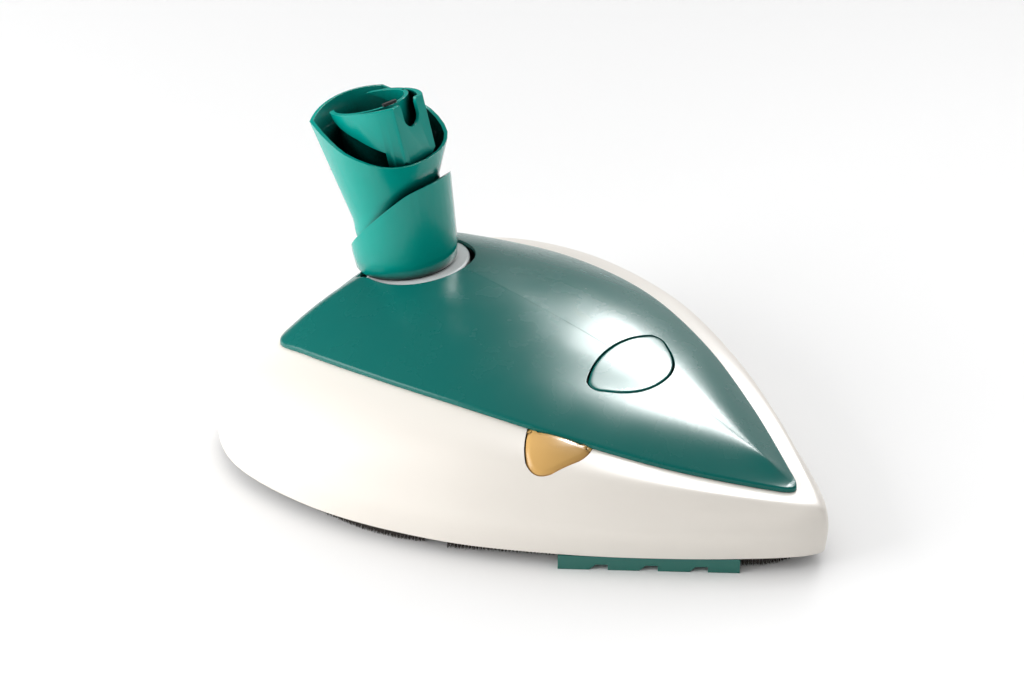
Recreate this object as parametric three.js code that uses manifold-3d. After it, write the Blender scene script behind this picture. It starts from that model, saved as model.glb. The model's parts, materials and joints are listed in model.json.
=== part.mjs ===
// Manual floor head of a vacuum cleaner: a teardrop housing with a swivelling and tilting neck.
// Millimetres, +Z up. The origin is on the floor, at the centre of the bounding box; +X is the nose,
// +Y the left side. Every separate piece of the head is one named mesh.
import * as THREE from "three";
import { mergeVertices } from "three/addons/utils/BufferGeometryUtils.js";
import Module from "manifold-3d";

const wasm = await Module();
wasm.setup();

// ---------------------------------------------------------------- driving dimensions

const GAP = 0.35; // between neighbouring pieces
const WALL = 2.6; // housing wall
const SKIN = 2.2; // cover wall
const COVER_LIP = 2.6; // how far the cover stands proud of the seam
const RING_STEPS = 80; // points around the housing
const ROUND = 40; // segments of a large circle
const FINE_ROUND = 20; // segments of a small circle

const SOLE_BOTTOM = 8;
const SOLE_THICK = 3;
const FRAME_BOTTOM = 14;
const FRAME_THICK = 3;

const NECK = {
  seatCentre: new THREE.Vector3(-95, 0, 79), // on the swivel axis, at the cup's lower edge
  swivelTilt: 7, // degrees back from upright
  pivotHeight: 25.2, // tilt pivot above the seat centre, along the swivel axis
  collarTilt: 16, // degrees back from upright, at rest
  bore: 25, // inside of the cup
  ball: 24.2, // ball end of the collar
  boss: 24.65, // raised pad round the pivot
};
const OPENING = { x: -88, radius: 29.7 };
const WHEEL = { x: -120, y: 60, radius: 11, width: 12, axle: 2 };
const ROCKER = { x: 10, z: 41, shaft: 3, reachFront: 36, reachBack: 45, armY: 38.5 };
const PRESS = { x: 46, slope: 13.5 }; // foot button, degrees down towards the nose

// ---------------------------------------------------------------- colours

const PAINT = {
  white: { color: 0xf3efe8, roughness: 0.38, metalness: 0 },
  teal: { color: 0x00685f, roughness: 0.3, metalness: 0 },
  neckTeal: { color: 0x009a88, roughness: 0.28, metalness: 0 },
  gold: { color: 0xdcae62, roughness: 0.35, metalness: 0.1 },
  comb: { color: 0x2d6e63, roughness: 0.45, metalness: 0 },
  bristle: { color: 0x5a5552, roughness: 0.9, metalness: 0 },
  grey: { color: 0xc9cdcd, roughness: 0.4, metalness: 0 },
  dark: { color: 0x2b2d2e, roughness: 0.6, metalness: 0 },
  rubber: { color: 0x1b1c1d, roughness: 0.85, metalness: 0 },
  steel: { color: 0xb6b8ba, roughness: 0.3, metalness: 1 },
};

// ---------------------------------------------------------------- helpers

const deg = THREE.MathUtils.degToRad;
const at = (x, y, z) => new THREE.Vector3(x, y, z);

function signedVolume(positions) {
  let sum = 0;
  const [a, b, c] = [at(), at(), at()];
  for (let i = 0; i < positions.length; i += 9) {
    a.fromArray(positions, i);
    b.fromArray(positions, i + 3);
    c.fromArray(positions, i + 6);
    sum += a.dot(b.cross(c));
  }
  return sum;
}

// A closed three.js geometry as a solid.
function solid(geometry) {
  const bare = geometry.clone();
  bare.deleteAttribute("normal");
  bare.deleteAttribute("uv");
  const merged = mergeVertices(bare, 1e-4);
  return new wasm.Manifold(
    new wasm.Mesh({
      numProp: 3,
      vertProperties: merged.attributes.position.array,
      triVerts: new Uint32Array(merged.index.array),
    }),
  );
}

function geometryOf(body) {
  const { vertProperties, triVerts } = body.getMesh();
  const geometry = new THREE.BufferGeometry();
  geometry.setAttribute("position", new THREE.BufferAttribute(vertProperties, 3));
  geometry.setIndex(new THREE.BufferAttribute(triVerts, 1));
  geometry.computeVertexNormals();
  return geometry;
}

// A solid stitched from strips, each strip joining two rings with the same number of points.
function stitched(strips) {
  const positions = [];
  for (const [a, b] of strips) {
    a.forEach((p, i) => {
      const [q, r, s] = [a[(i + 1) % a.length], b[(i + 1) % b.length], b[i]];
      for (const v of [p, q, r, p, r, s]) positions.push(v.x, v.y, v.z);
    });
  }
  return fromTriangles(positions);
}

// Rings joined in order, and the last to the first, as a closed tube wall.
function ringWall(rings) {
  return stitched(rings.map((ring, i) => [ring, rings[(i + 1) % rings.length]]));
}

// Rings joined in order, with a flat fan on the first and on the last.
function ringStack(rings) {
  const strips = rings.slice(1).map((ring, i) => [rings[i], ring]);
  const centre = (ring) => {
    const middle = ring.reduce((sum, p) => sum.add(p), at(0, 0, 0)).divideScalar(ring.length);
    return ring.map(() => middle);
  };
  return stitched([
    [centre(rings[0]), rings[0]],
    ...strips,
    [rings.at(-1), centre(rings.at(-1))],
  ]);
}

function fromTriangles(positions) {
  if (signedVolume(positions) < 0) {
    for (let i = 0; i < positions.length; i += 9) {
      for (let k = 0; k < 3; k++) {
        [positions[i + k], positions[i + 3 + k]] = [positions[i + 3 + k], positions[i + k]];
      }
    }
  }
  const kept = [];
  const [a, b, c] = [at(), at(), at()];
  for (let i = 0; i < positions.length; i += 9) {
    a.fromArray(positions, i);
    b.fromArray(positions, i + 3);
    c.fromArray(positions, i + 6);
    const degenerate = a.distanceTo(b) < 1e-3 || b.distanceTo(c) < 1e-3 || c.distanceTo(a) < 1e-3;
    if (!degenerate) kept.push(...positions.slice(i, i + 9));
  }
  const geometry = new THREE.BufferGeometry();
  geometry.setAttribute("position", new THREE.Float32BufferAttribute(kept, 3));
  return solid(geometry);
}

function moved(geometry, position, rotation = [0, 0, 0]) {
  const turn = new THREE.Quaternion().setFromEuler(new THREE.Euler(...rotation));
  const matrix = new THREE.Matrix4().compose(position, turn, at(1, 1, 1));
  return geometry.applyMatrix4(matrix);
}

// A box from its lowest to its highest corner.
function box(low, high) {
  const size = high.clone().sub(low);
  const middle = low.clone().add(high).multiplyScalar(0.5);
  return solid(moved(new THREE.BoxGeometry(size.x, size.y, size.z), middle));
}

// An upright cylinder from one height to another.
function post(x, y, low, high, radius, segments = FINE_ROUND) {
  const tube = new THREE.CylinderGeometry(radius, radius, high - low, segments);
  return solid(moved(tube, at(x, y, (low + high) / 2), [Math.PI / 2, 0, 0]));
}

// A cylinder along Y, centred on a point.
function barY(centre, length, radius, segments = FINE_ROUND) {
  return solid(moved(new THREE.CylinderGeometry(radius, radius, length, segments), centre));
}

// A plate with a given outline, from one height to another.
function plate(shape, low, high, curveSegments = 8) {
  const options = { depth: high - low, bevelEnabled: false, curveSegments };
  return solid(moved(new THREE.ExtrudeGeometry(shape, options), at(0, 0, low)));
}

// A body of revolution about Z from a closed profile of [radius, height] pairs.
function turned(profile, segments = ROUND) {
  const points = profile.map(([r, z]) => new THREE.Vector2(r, z));
  points.push(points[0].clone());
  const lathe = new THREE.LatheGeometry(points, segments);
  lathe.rotateX(Math.PI / 2);
  const body = lathe.toNonIndexed();
  return fromTriangles([...body.attributes.position.array]);
}

// Points of a circular arc in a lathe profile, from one latitude to another, in degrees.
function arcProfile(radius, centreHeight, from, to, steps) {
  return Array.from({ length: steps + 1 }, (_, i) => {
    const latitude = deg(from + ((to - from) * i) / steps);
    return [radius * Math.cos(latitude), centreHeight + radius * Math.sin(latitude)];
  });
}

// A coil spring standing on Z.
function coil(x, y, low, high, radius, wire, turns) {
  const steps = turns * 12;
  const points = Array.from({ length: steps + 1 }, (_, i) => {
    const angle = (i / 12) * 2 * Math.PI;
    const height = low + wire + ((high - low - 2 * wire) * i) / steps;
    return at(x + radius * Math.cos(angle), y + radius * Math.sin(angle), height);
  });
  const section = new THREE.Shape();
  section.absarc(0, 0, wire, 0, 2 * Math.PI, false);
  const path = new THREE.CatmullRomCurve3(points);
  return solid(
    new THREE.ExtrudeGeometry(section, {
      steps,
      extrudePath: path,
      bevelEnabled: false,
      curveSegments: 3,
    }),
  );
}

// Adds a named mesh to a group.
function add(group, name, body, paint) {
  const material = new THREE.MeshStandardMaterial(PAINT[paint]);
  const mesh = new THREE.Mesh(geometryOf(body), material);
  mesh.name = name;
  group.add(mesh);
}

// ---------------------------------------------------------------- body surface

// Outlines from the nose to the middle of the tail, on the left side, at five levels of the wall.
const LEVELS = {
  sill: [
    [158.5, 0, 8], [155.5, 6.5, 8], [146, 16.5, 8], [108, 46.8, 8], [59, 79, 8], [6, 105, 8],
    [-60, 120, 8], [-118, 113.5, 8], [-149, 88, 8], [-157.8, 45, 8], [-158.8, 0, 8],
  ],
  waist: [
    [159.2, 0, 22], [156.4, 6, 22], [147, 17.8, 22], [110, 49, 23], [61, 81.6, 24], [7, 107.5, 25],
    [-60, 121.8, 25], [-118.5, 114.5, 25], [-150, 88.6, 24], [-158.4, 45, 23], [-159.2, 0, 22],
  ],
  shoulder: [
    [156.5, 0, 31], [153.8, 4.6, 31], [144, 14.2, 31.5], [107, 44.5, 33.6], [59, 77.4, 36.3],
    [6, 103.5, 38.6], [-60, 118, 39], [-117, 112, 36.6], [-147, 87, 33], [-154.8, 44, 31],
    [-155.8, 0, 30.5],
  ],
  brow: [
    [150.5, 0, 34.2], [148, 4.8, 34.4], [139.2, 13.4, 35.8], [103, 42, 42.5], [57.5, 70.7, 48.7],
    [6.5, 92.6, 53.5], [-56, 102.7, 53.8], [-112, 97.2, 47.5], [-136.5, 78.6, 42.5], [-144.5, 40, 41],
    [-146.8, 0, 40.5],
  ],
  seam: [
    [141.2, 0, 34.8], [139.4, 3.4, 35.1], [131.4, 9.6, 36.7], [95, 33.9, 45.2], [52, 55.9, 55.4],
    [5.5, 70.9, 62.4], [-50, 77.5, 62.6], [-100, 74.6, 57.5], [-122.8, 68.4, 53.3], [-129.4, 36, 52],
    [-132.4, 0, 51.5],
  ],
};

// The spine of the cover, from the tail to the tip.
const SPINE = new THREE.CatmullRomCurve3(
  [
    [-110, 0, 79.5], [-88, 0, 86.2], [-58, 0, 88.5], [6, 0, 80.2], [46, 0, 71.9], [80, 0, 63.1],
    [115, 0, 50.7], [138, 0, 41.4],
  ].map((p) => at(...p)),
);
const SPINE_TIP = 122; // where the ribs from the tip of the seam reach the spine
const SPINE_SQUEEZE = 0.765; // spine length over seam length
const SEAM_TIP = LEVELS.seam[0][0];

// A closed loop through a half outline and its mirror image.
function loop(half) {
  const left = half.map((p) => at(...p));
  const right = half.slice(1, -1).map(([x, y, z]) => at(x, -y, z));
  return new THREE.CatmullRomCurve3([...left, ...right.reverse()], true);
}

const LOOPS = Object.values(LEVELS).map(loop);
const SEAM_LOOP = LOOPS.at(-1);

// The point of the white wall a share t round the outline and a share r up the wall.
function wallPoint(t, r) {
  const rib = new THREE.CatmullRomCurve3(LOOPS.map((curve) => curve.getPoint(((t % 1) + 1) % 1)));
  return rib.getPoint(r);
}

function wallNormal(t, r) {
  const step = 1e-3;
  const along = wallPoint(t + step, r).sub(wallPoint(t - step, r));
  const up = wallPoint(t, Math.min(r + step, 1)).sub(wallPoint(t, Math.max(r - step, 0)));
  return along.cross(up).normalize();
}

function wallRing(r, inset = 0) {
  return Array.from({ length: RING_STEPS }, (_, i) => {
    const t = i / RING_STEPS;
    const point = wallPoint(t, r);
    if (inset === 0) return point;
    return point.addScaledVector(wallNormal(t, r), -inset);
  });
}

// A flat ring inside the sill, at a given inset and height.
function sillRing(inset, height) {
  return wallRing(0, inset).map((p) => at(p.x, p.y, height));
}

function spineHeight(x) {
  let [low, high] = [0, 1];
  for (let i = 0; i < 24; i++) {
    const middle = (low + high) / 2;
    if (SPINE.getPoint(middle).x < x) low = middle;
    else high = middle;
  }
  return SPINE.getPoint(low).z;
}

// The point of the cover a share t round the seam and a share s from the seam to the spine.
function coverPoint(t, s, lift = 0) {
  const edge = SEAM_LOOP.getPoint(t);
  const spineX = SPINE_TIP - SPINE_SQUEEZE * (SEAM_TIP - edge.x);
  const nose = THREE.MathUtils.smoothstep(edge.x, 60, 140);
  const crown = 1 - (1 - s) ** (2.1 - 0.85 * nose);
  const base = edge.z + COVER_LIP;
  return at(
    THREE.MathUtils.lerp(edge.x, spineX, s),
    edge.y * (1 - s),
    base + (spineHeight(spineX) - base) * crown + lift,
  );
}

function coverRing(s, lift = 0) {
  return Array.from({ length: RING_STEPS }, (_, i) => coverPoint(i / RING_STEPS, s, lift));
}

// The cover surface as a solid of a given depth.
function coverSlab(depth) {
  const top = [0, 0.04, 0.12, 0.25, 0.42, 0.6, 0.8, 1].map((s) => coverRing(s));
  const under = [0.04, 0.25, 0.6, 1].map((s) => coverRing(s, -depth));
  const foot = (s) =>
    coverRing(s).map((p, i) => at(p.x, p.y, SEAM_LOOP.getPoint(i / RING_STEPS).z + GAP));
  const rim = [top[0], foot(0), foot(0.04), under[0]];
  const strips = (rings) => rings.slice(1).map((ring, i) => [rings[i], ring]);
  return stitched([...strips(top).map(([a, b]) => [b, a]), ...strips(rim), ...strips(under)]);
}

// ---------------------------------------------------------------- neck frames

const head = new THREE.Group();

// Swivel frame: Z is the swivel axis, the origin is the centre of the cup's lower edge.
const swivel = new THREE.Group();
swivel.position.copy(NECK.seatCentre);
swivel.rotation.y = -deg(NECK.swivelTilt);
head.add(swivel);

// Collar frame: the origin is the tilt pivot, Z runs up the duct.
const pivot = at(0, 0, NECK.pivotHeight)
  .applyAxisAngle(at(0, 1, 0), -deg(NECK.swivelTilt))
  .add(NECK.seatCentre);
const collar = new THREE.Group();
collar.position.copy(pivot);
collar.rotation.y = -deg(NECK.collarTilt);
head.add(collar);
head.updateMatrixWorld(true);

const toCollar = (p) => collar.worldToLocal(p.clone());
const inSwivel = (body) => body.transform(swivel.matrixWorld.toArray());

// ---------------------------------------------------------------- neck cup and seat

const CUP = { floor: 2, foot: 25.2, belly: 27.2, top: 28, height: 66, throat: 14.5, spigot: 17.4 };
const RETAINER = { radius: 22, low: -8.9, high: -5.95 };

const SPIGOT_END = -14;

// The tilt pins stand in blind sockets in the wall of the cup.
const PIN = { radius: 3, inner: 20.8, outer: 26.1, socket: 26.4 };

// Low at the back and high at the front, with a round front corner.
function cupRimCutter() {
  const side = new THREE.Shape();
  side.moveTo(-40, -4);
  side.lineTo(-29, 6.5);
  side.lineTo(20, 47.3);
  side.quadraticCurveTo(24.6, 51.1, 32, 51.6);
  side.lineTo(40, 51.6);
  side.lineTo(40, 90);
  side.lineTo(-40, 90);
  side.closePath();
  const cutter = new THREE.ExtrudeGeometry(side, { depth: 80, bevelEnabled: false });
  return solid(moved(cutter, at(0, 40, 0), [Math.PI / 2, 0, 0]));
}

function neckCup() {
  const { floor, foot, belly, top, height, throat, spigot } = CUP;
  const bowlFloor = NECK.pivotHeight - Math.sqrt(NECK.bore ** 2 - throat ** 2);
  const bowl = arcProfile(NECK.bore, NECK.pivotHeight, 0, -50, 7);
  const outer = [
    [spigot, SPIGOT_END], [spigot, floor], [foot, floor], [foot + 1, floor + 1.5], [belly, 11], [top, height],
  ];
  const inner = [[NECK.bore, height], ...bowl, [throat, bowlFloor], [throat, SPIGOT_END]];
  const cup = turned([...outer, ...inner]);
  const pinHoles = barY(at(0, 0, NECK.pivotHeight), 2 * PIN.socket, PIN.radius + GAP);
  // At the back the bowl is open above this height, so that the collar can lie down.
  const openFrom = 7.3;
  const backHalf = box(at(-40, -40, openFrom), at(-4, 40, 60));
  const room = post(0, 0, openFrom, 60, NECK.bore, ROUND).intersect(backHalf);
  return cup.subtract(cupRimCutter()).subtract(pinHoles).subtract(room);
}

add(swivel, "neck_cup", neckCup(), "neckTeal");
add(
  swivel,
  "neck_retainer",
  turned([
    [CUP.spigot + GAP, RETAINER.low], [RETAINER.radius, RETAINER.low],
    [RETAINER.radius, RETAINER.high], [CUP.spigot + GAP, RETAINER.high],
  ]),
  "steel",
);

// The fixed seat in the opening of the cover: a flat ring under the cup, with a skirt round the spigot.
const SEAT = {
  top: CUP.floor - GAP, front: 32.4, thick: 3.2, bore: 19, skirt: 21.5, skirtEnd: -5.6,
  legX: 14, legY: 24.3, legRadius: 3, legLength: 14,
};

function neckSeat() {
  const low = SEAT.top - SEAT.thick;
  const edge = SEAT.top - 0.8;
  const ring = turned([
    [0, low], [SEAT.front, low], [SEAT.front, edge], [SEAT.front - 0.8, SEAT.top], [0, SEAT.top],
  ]);
  const frontHalf = box(at(-6, -50, -20), at(50, 50, 20));
  const skirt = post(0, 0, SEAT.skirtEnd, SEAT.top, SEAT.skirt, ROUND);
  const bore = post(0, 0, -30, 30, SEAT.bore, ROUND);
  let seat = ring.intersect(frontHalf).add(skirt);
  for (const side of [1, -1]) {
    seat = seat.add(post(SEAT.legX, side * SEAT.legY, low - SEAT.legLength, low + 1, SEAT.legRadius));
  }
  seat = seat.subtract(bore);
  return inSwivel(seat).intersect(post(OPENING.x, 0, 40, 120, OPENING.radius - GAP, 56));
}

add(head, "neck_seat", neckSeat(), "grey");
add(
  swivel,
  "neck_seal",
  turned([
    [CUP.spigot + GAP, SEAT.top - 3.1], [CUP.spigot + 1.2, SEAT.top - 3.1],
    [CUP.spigot + 1.2, SEAT.top - GAP], [CUP.spigot + GAP, SEAT.top - GAP],
  ]),
  "rubber",
);

// ---------------------------------------------------------------- collar and connector

const COLLAR = { wall: 2, ballFloor: -20, flareBack: 4, flareFront: 21 };

// The rim of the collar lies in a plane that falls towards the front: a round front, two back corners.
const RIM = { height: 150.65, x: -104, slope: -0.3 };
const rimPoint = ([x, y]) => at(x, y, RIM.height + RIM.slope * (x - RIM.x));

function rimHalf() {
  const side = new THREE.SplineCurve(
    [[-79.7, 0], [-81.6, 14.5], [-89, 27], [-104, 33.8], [-119, 32.4], [-132.5, 28.2]].map(
      (p) => new THREE.Vector2(...p),
    ),
  );
  const back = new THREE.QuadraticBezierCurve(
    new THREE.Vector2(-132.5, 28.2),
    new THREE.Vector2(-139.5, 15.5),
    new THREE.Vector2(-139.5, 0),
  );
  return [...side.getPoints(13), ...back.getPoints(6).slice(1)].map((p) => rimPoint([p.x, p.y]));
}

function collarRings() {
  const half = rimHalf().map(toCollar);
  const mirrored = half.slice(1, -1).map((p) => at(p.x, -p.y, p.z));
  const rim = [...half, ...mirrored.reverse()];
  const angles = rim.map((p) => Math.atan2(p.y, p.x));
  const middle = (COLLAR.flareFront + COLLAR.flareBack) / 2;
  const swing = (COLLAR.flareFront - COLLAR.flareBack) / 2;
  const flare = angles.map((a) => middle + swing * Math.cos(a));
  const ballRing = (radius, share) =>
    angles.map((a, i) => {
      const bottom = Math.asin(COLLAR.ballFloor / NECK.ball);
      const top = Math.asin(Math.min(flare[i], 0) / NECK.ball);
      const latitude = THREE.MathUtils.lerp(bottom, top, share);
      const r = radius * Math.cos(latitude);
      return at(r * Math.cos(a), r * Math.sin(a), radius * Math.sin(latitude));
    });
  const flareRing = (radius) => {
    const ball = ballRing(radius, 1);
    return ball.map((p, i) => at(p.x, p.y, Math.max(flare[i], p.z)));
  };
  const inward = (ring, wall) =>
    ring.map((p) => {
      const r = Math.hypot(p.x, p.y);
      return at((p.x * (r - wall)) / r, (p.y * (r - wall)) / r, p.z);
    });
  return { rim, ballRing, flareRing, inward };
}

function neckCollar() {
  const { rim, ballRing, flareRing, inward } = collarRings();
  const inside = NECK.ball - COLLAR.wall;
  const shares = [0, 0.25, 0.5, 0.75, 1];
  const outer = [...shares.map((s) => ballRing(NECK.ball, s)), flareRing(NECK.ball), rim];
  const inner = [inward(rim, COLLAR.wall), flareRing(inside)];
  const innerBall = shares.toReversed().map((s) => ballRing(inside, s));
  const shell = ringWall([...outer, ...inner, ...innerBall]);
  return shell.add(pivotBosses()).subtract(barY(at(0, 0, 0), 80, PIN.radius + GAP)).subtract(snapWindows());
}

// Slightly raised round pads on both sides of the ball, where the pivot pins sit.
function pivotBosses() {
  const ball = solid(new THREE.SphereGeometry(NECK.boss, 48, 24));
  const core = solid(new THREE.SphereGeometry(NECK.ball - COLLAR.wall + 0.2, 32, 16));
  return ball.subtract(core).intersect(barY(at(0, 0, 0), 80, 14.5, 32));
}

const SNAP = { angle: 143, height: 36, width: 5, tall: 7 };

function snapBlock(side, width, tall, near, far) {
  const angle = deg(side * SNAP.angle);
  const block = new THREE.BoxGeometry(far - near, width, tall);
  block.translate((far + near) / 2, 0, SNAP.height);
  return solid(block.rotateZ(angle));
}

function snapWindows() {
  const size = [SNAP.width, SNAP.tall, 20, 40];
  return snapBlock(1, ...size).add(snapBlock(-1, ...size));
}

add(collar, "neck_collar", neckCollar(), "neckTeal");

// The connector above the collar: a round duct at the back, running forward to a flat notched face.
const CONNECTOR = { top: 63, back: 21.4, duct: 18.2, shift: -2, face: 24.4, faceHalf: 11.4, wall: 2 };

function eggShape(inset) {
  const radius = CONNECTOR.back - inset;
  const middle = CONNECTOR.shift + 1;
  const face = CONNECTOR.face - inset;
  const half = CONNECTOR.faceHalf - inset * 0.8;
  const egg = new THREE.Shape();
  egg.moveTo(face, -half);
  egg.lineTo(face, half);
  egg.quadraticCurveTo(face - 8.5, radius - 1.2, middle + 5, radius - 0.3);
  egg.absarc(middle, 0, radius, Math.PI * 0.42, Math.PI * 1.58, false);
  egg.quadraticCurveTo(face - 8.5, -radius + 1.2, face, -half);
  return egg;
}

// A big block whose lower side lies along the collar rim, a little above it.
function aboveRim(lift) {
  const block = new THREE.BoxGeometry(200, 200, 120);
  block.translate(0, 0, 60 + lift);
  const tilt = Math.atan(-RIM.slope) + deg(NECK.collarTilt);
  const centre = toCollar(rimPoint([RIM.x, 0]));
  return solid(moved(block, centre, [0, tilt, 0]));
}

function connectorShroud() {
  const { top, duct, shift, face, wall } = CONNECTOR;
  const shell = plate(eggShape(0), 20, top, 14);
  const bore = post(shift, 0, 0, 80, duct, ROUND);
  const partition = post(shift, 0, 0, 80, duct + wall, ROUND);
  const cavity = plate(eggShape(wall), 0, 80, 14).subtract(partition);
  const slot = notchCutter(face);
  const room = aboveRim(1.6).add(faceRoom());
  return shell.subtract(bore).subtract(cavity).subtract(slot).intersect(room);
}

// The room in which the flat face runs down behind the front of the collar.
function faceRoom() {
  const cone = turned([[0, 24], [21.2, 24], [27.4, 36], [27.4, 50], [0, 50]]);
  return cone.intersect(box(at(17.5, -30, 0), at(40, 30, 60)));
}

// A round-bottomed notch through the flat face.
function notchCutter(face) {
  const halfWidth = 5.7;
  const depth = 13;
  const outline = new THREE.Shape();
  const mouth = CONNECTOR.top + 1;
  const bottom = CONNECTOR.top - depth + halfWidth;
  outline.moveTo(-halfWidth - 1.2, mouth);
  outline.lineTo(-halfWidth, mouth - 3.4);
  outline.lineTo(-halfWidth, bottom);
  outline.absarc(0, bottom, halfWidth, Math.PI, 2 * Math.PI, false);
  outline.lineTo(halfWidth, mouth - 3.4);
  outline.lineTo(halfWidth + 1.2, mouth);
  outline.closePath();
  const cutter = new THREE.ExtrudeGeometry(outline, { depth: 8, bevelEnabled: false });
  cutter.rotateX(Math.PI / 2);
  cutter.rotateZ(Math.PI / 2);
  return solid(cutter.translate(face - 5.5, 0, 0));
}

add(collar, "connector_shroud", connectorShroud(), "neckTeal");

const ductTube = turned([
  [14.4, 12], [16.2, 12], [CONNECTOR.duct - GAP, 26], [CONNECTOR.duct - GAP, 54],
  [CONNECTOR.duct - GAP - 1.4, 54], [CONNECTOR.duct - GAP - 1.4, 26],
]).translate([CONNECTOR.shift, 0, 0]);
add(collar, "connector_duct", ductTube, "neckTeal");

const sealRing = turned([[17.6, 15.6], [19.6, 15.6], [19.6, 18.6], [17.6, 18.6]]);
add(collar, "connector_seal", sealRing.translate([CONNECTOR.shift, 0, 0]), "rubber");

const padBox = new THREE.BoxGeometry(2, 8, 1.2);
padBox.translate(CONNECTOR.duct + CONNECTOR.wall / 2, 0, CONNECTOR.top + 0.95);
padBox.rotateZ(-deg(15)).translate(CONNECTOR.shift, 0, 0);
add(collar, "connector_pad", solid(padBox), "grey");

for (const [side, label] of [[1, "left"], [-1, "right"]]) {
  const lug = snapBlock(side, SNAP.width - 1, SNAP.tall - 1, 24, 28.8);
  add(collar, `connector_snap_${label}`, lug, "dark");
  const pinMiddle = (PIN.inner + PIN.outer) / 2;
  const pin = barY(at(0, side * pinMiddle, 0), PIN.outer - PIN.inner, PIN.radius);
  add(collar, `neck_pin_${label}`, pin, "steel");
}

// ---------------------------------------------------------------- foot button and its rocker

// Press frame: the origin is on the spine at the button, Z is the outward surface normal.
const press = new THREE.Matrix4()
  .makeRotationY(deg(PRESS.slope))
  .setPosition(PRESS.x, 0, spineHeight(PRESS.x));

// A rounded triangle, wide at the back, its round point towards the nose.
function buttonShape(grow) {
  const g = grow;
  const [nose, back] = [18.8 + g, -12.8 - g];
  const outline = new THREE.Shape();
  outline.moveTo(nose, 0);
  outline.bezierCurveTo(nose, 11 + g, 13.5 + g, 19.5 + g, 3.5, 26 + g);
  outline.quadraticCurveTo(-1.5, 30.8 + g, -6 - g, 27 + g);
  outline.bezierCurveTo(-10.5 - g, 20, back, 10, back, 0);
  outline.bezierCurveTo(back, -10, -10.5 - g, -20, -6 - g, -27 - g);
  outline.quadraticCurveTo(-1.5, -30.8 - g, 3.5, -26 - g);
  outline.bezierCurveTo(13.5 + g, -19.5 - g, nose, -11 - g, nose, 0);
  return outline;
}

function buttonPrism(grow) {
  return plate(buttonShape(grow), -25, 25, 8).transform(press.toArray());
}

const SPRING = { x: 38, y: 13, low: 35.6, high: 67.2, radius: 4.2, wire: 0.6, turns: 6 };
const CAP_THICK = 4; // of the foot button
const leverTip = ROCKER.x + ROCKER.reachFront;

function footButton() {
  const cap = coverSlab(CAP_THICK).intersect(buttonPrism(0));
  const stem = post(leverTip, 0, ROCKER.z + 3.6, spineHeight(PRESS.x) - 2.4, 4);
  return cap.add(stem);
}

function rockerLever() {
  const { x, z, shaft, reachFront, reachBack, armY } = ROCKER;
  const bar = barY(at(x, 0, z), 2 * armY + 14, shaft);
  const front = box(at(x, -4, z - 2), at(x + reachFront + 4, 4, z + 3));
  const backArm = (side) =>
    box(at(x - reachBack - 3, side * armY - 2.5, z - 2), at(x, side * armY + 2.5, z + 2));
  return bar.add(front).add(backArm(1)).add(backArm(-1));
}

function leverBracket(side) {
  const { x, z, shaft, armY } = ROCKER;
  const low = SOLE_BOTTOM + SOLE_THICK + GAP;
  const y = side * (armY + 6.5);
  const upright = box(at(x - 6, y - 2, low), at(x + 6, y + 2, z + 6));
  const foot = box(at(x - 9, y - 2, low), at(x + 9, y + 2, low + 3));
  return upright.add(foot).subtract(barY(at(x, y, z), 10, shaft + GAP));
}

add(head, "foot_button", footButton(), "teal");
add(head, "rocker_lever", rockerLever(), "grey");
add(head, "lever_bracket_left", leverBracket(1), "dark");
add(head, "lever_bracket_right", leverBracket(-1), "dark");
add(
  head,
  "foot_button_spring",
  coil(SPRING.x, SPRING.y, SPRING.low, SPRING.high, SPRING.radius, SPRING.wire, SPRING.turns),
  "steel",
);

// ---------------------------------------------------------------- side button

// A frame on the right wall just below the seam: X along the seam to the nose, Y up and Z outwards.
function sideFrame() {
  const along = at(0.92, 0.36, -0.17).normalize();
  const out = at(0.29, -0.33, 0.9).normalize();
  const up = out.clone().cross(along).normalize();
  const forward = up.clone().cross(out).normalize();
  return new THREE.Matrix4().makeBasis(forward, up, out).setPosition(45.3, -58.2, 56.5);
}

// A shield outline: straight along the seam, lowest near its back end.
function shieldShape(g) {
  const outline = new THREE.Shape();
  outline.moveTo(-15.6 - g, 4);
  outline.lineTo(16 + g, 4);
  outline.quadraticCurveTo(16.4 + g, -3.4, 12.2 + g, -(8.4 + g));
  outline.lineTo(2.6, -(18.9 + g));
  outline.quadraticCurveTo(-5.2, -(24.4 + g), -10.2 - g, -(17.6 + g));
  outline.quadraticCurveTo(-15 - g, -(9 + g), -15.6 - g, 4);
  return outline;
}

function shieldPrism(grow, low, high) {
  return plate(shieldShape(grow), low, high, 6).transform(sideFrame().toArray());
}

// ---------------------------------------------------------------- housing shell

// Places of the screws, and the screw itself.
const SCREWS = [[150, 0], [-92, 100], [-92, -100], [-138, 78], [-138, -78]];
const SCREW = { shank: 1.5, head: 3.6, headHeight: 2.2, top: 26 };

function housingShell() {
  const rises = [0, 0.12, 0.25, 0.37, 0.5, 0.62, 0.75, 0.87, 1];
  const outer = rises.map((r) => wallRing(r));
  const seam = outer.at(-1);
  const flange = (drop) =>
    coverRing(0.08).map((p, i) => at(p.x, p.y, seam[i].z - drop));
  const inner = [0.94, 0.75, 0.5, 0.25, 0.12].map((r) => wallRing(r, WALL));
  return ringWall([...outer, flange(0), flange(WALL), ...inner, sillRing(WALL, SOLE_BOTTOM)]);
}

// Posts that hang from the inside of the shell and take the screws of the sole.
function screwPosts(shell) {
  const low = SOLE_BOTTOM + SOLE_THICK + GAP;
  const inside = [0, 0.25, 0.5, 0.75, 0.94].map((r) => wallRing(r, WALL / 2));
  const room = ringStack(inside);
  let posts = shell;
  for (const [x, y] of SCREWS) {
    posts = posts.add(post(x, y, low, 80, 4.2).intersect(room));
    posts = posts.subtract(post(x, y, 0, SCREW.top + GAP, SCREW.shank + GAP));
  }
  return posts;
}

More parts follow.
